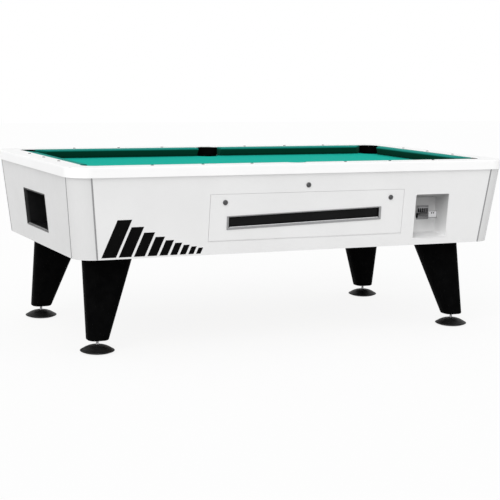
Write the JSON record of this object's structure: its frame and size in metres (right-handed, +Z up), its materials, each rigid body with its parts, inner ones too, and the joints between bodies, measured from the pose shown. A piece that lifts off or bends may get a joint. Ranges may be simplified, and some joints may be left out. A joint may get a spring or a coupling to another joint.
{
  "type": "coin-operated pool table",
  "caption": "Coin-operated pool table: tapered white cabinet with slate bed, lifting rail frame, ball runs with window and return box, coin slide, access door, splayed legs on levelling feet.",
  "frame": {"origin": "on the floor, under the middle of the table", "axes": "+X along the table away from the ball return box, +Z up, the coin recess faces -Y"},
  "size_m": [2.21, 1.26, 0.8353],
  "materials": {
    "white_board": "white laminate, satin",
    "white_post": "white laminate, satin",
    "bare_wood": "bare",
    "black_wood": "black lacquer, satin",
    "slate": "honed",
    "green_cloth": "napped wool",
    "cushion": "rubber under green cloth",
    "black_metal": "black enamel",
    "white_metal": "white enamel",
    "black_plastic": "fine grain",
    "steel": "zinc plated",
    "slide_chrome": "polished",
    "lock_chrome": "polished",
    "window_aluminium": "satin anodised",
    "smoked_glass": "smoked"
  },
  "bodies": {
    "cabinet": {"front_panel": "white_board", "rear_panel": "white_board", "left_end_panel": "white_board", "right_end_panel": "white_board", "corner_post_front_left": "white_post", "corner_post_front_right": "white_post", "corner_post_rear_left": "white_post", "corner_post_rear_right": "white_post", "floor_board": "bare_wood", "slate_bed": "slate", "bed_cloth": "green_cloth", "front_slate_beam": "bare_wood", "rear_slate_beam": "bare_wood", "front_runway": "bare_wood", "rear_runway": "bare_wood", "cross_runway": "bare_wood", "ball_gallery": "black_metal", "return_box": "black_plastic", "coin_recess": "white_metal", "coin_chute": "steel", "cash_box": "steel", "leg_front_left": "black_wood", "leg_front_right": "black_wood", "leg_rear_left": "black_wood", "leg_rear_right": "black_wood", "lid_hinge_cabinet_leaf": "steel"},
    "foot_front_left": {"foot_stud_front_left": "steel", "foot_pad_front_left": "black_plastic"},
    "foot_front_right": {"foot_stud_front_right": "steel", "foot_pad_front_right": "black_plastic"},
    "foot_rear_left": {"foot_stud_rear_left": "steel", "foot_pad_rear_left": "black_plastic"},
    "foot_rear_right": {"foot_stud_rear_right": "steel", "foot_pad_rear_right": "black_plastic"},
    "top_frame": {"rail_front": "white_board", "rail_rear": "white_board", "rail_left": "white_board", "rail_right": "white_board", "cushion_front_left": "cushion", "cushion_front_right": "cushion", "cushion_rear_left": "cushion", "cushion_rear_right": "cushion", "cushion_left_end": "cushion", "cushion_right_end": "cushion", "pocket_liner_front_left": "black_plastic", "pocket_liner_front_right": "black_plastic", "pocket_liner_rear_left": "black_plastic", "pocket_liner_rear_right": "black_plastic", "pocket_liner_side_front": "black_plastic", "pocket_liner_side_rear": "black_plastic", "lid_hinge_frame_leaf": "steel", "lock_keeper": "steel"},
    "top_lock": {"top_lock": "lock_chrome"},
    "access_door": {"access_door": "white_board", "window_frame": "window_aluminium", "window_glass": "smoked_glass"},
    "door_lock_left": {"door_lock_left": "lock_chrome"},
    "door_lock_right": {"door_lock_right": "lock_chrome"},
    "coin_slide": {"coin_slide": "slide_chrome"},
    "ball_release": {"ball_release_bar": "steel"}
  },
  "joints": [
    {"name": "frame_lift", "type": "hinge", "parent": "cabinet", "child": "top_frame", "pos_m": [0, 0.6248, 0.7815], "axis": [-1, 0, 0], "range_deg": [0, 65]},
    {"name": "top_lock_turn", "type": "hinge", "parent": "cabinet", "child": "top_lock", "pos_m": [0.021, -0.61219, 0.735], "axis": [0, 0.9941, 0.1089], "range_deg": [0, 90]},
    {"name": "door_tilt", "type": "hinge", "parent": "cabinet", "child": "access_door", "pos_m": [0.0355, -0.57756, 0.501], "axis": [1, 0, 0], "range_deg": [0, 80]},
    {"name": "door_lock_left_turn", "type": "hinge", "parent": "access_door", "child": "door_lock_left", "pos_m": [-0.386, -0.60464, 0.666], "axis": [0, -0.9941, -0.1089], "range_deg": [0, 90]},
    {"name": "door_lock_right_turn", "type": "hinge", "parent": "access_door", "child": "door_lock_right", "pos_m": [0.457, -0.60464, 0.666], "axis": [0, 0.9941, 0.1089], "range_deg": [0, 90]},
    {"name": "coin_push", "type": "slide", "parent": "cabinet", "child": "coin_slide", "axis": [0, 1, 0], "range_m": [0, 0.08], "stiffness_N_per_m": 120, "springref_m": -0.05},
    {"name": "ball_release", "type": "hinge", "parent": "cabinet", "child": "ball_release", "pos_m": [0.697, -0.214, 0.6], "axis": [-1, 0, 0], "range_deg": [0, 12.1]},
    {"name": "foot_front_left_level", "type": "slide", "parent": "cabinet", "child": "foot_front_left", "axis": [0, 0, -1], "range_m": [-0.008, 0.02]},
    {"name": "foot_front_right_level", "type": "slide", "parent": "cabinet", "child": "foot_front_right", "axis": [0, 0, -1], "range_m": [-0.008, 0.02]},
    {"name": "foot_rear_left_level", "type": "slide", "parent": "cabinet", "child": "foot_rear_left", "axis": [0, 0, -1], "range_m": [-0.008, 0.02]},
    {"name": "foot_rear_right_level", "type": "slide", "parent": "cabinet", "child": "foot_rear_right", "axis": [0, 0, -1], "range_m": [-0.008, 0.02]}
  ],
  "couplings": [
    {"joint": "ball_release", "follows": "coin_push", "rad_per_m": 2.618}
  ]
}
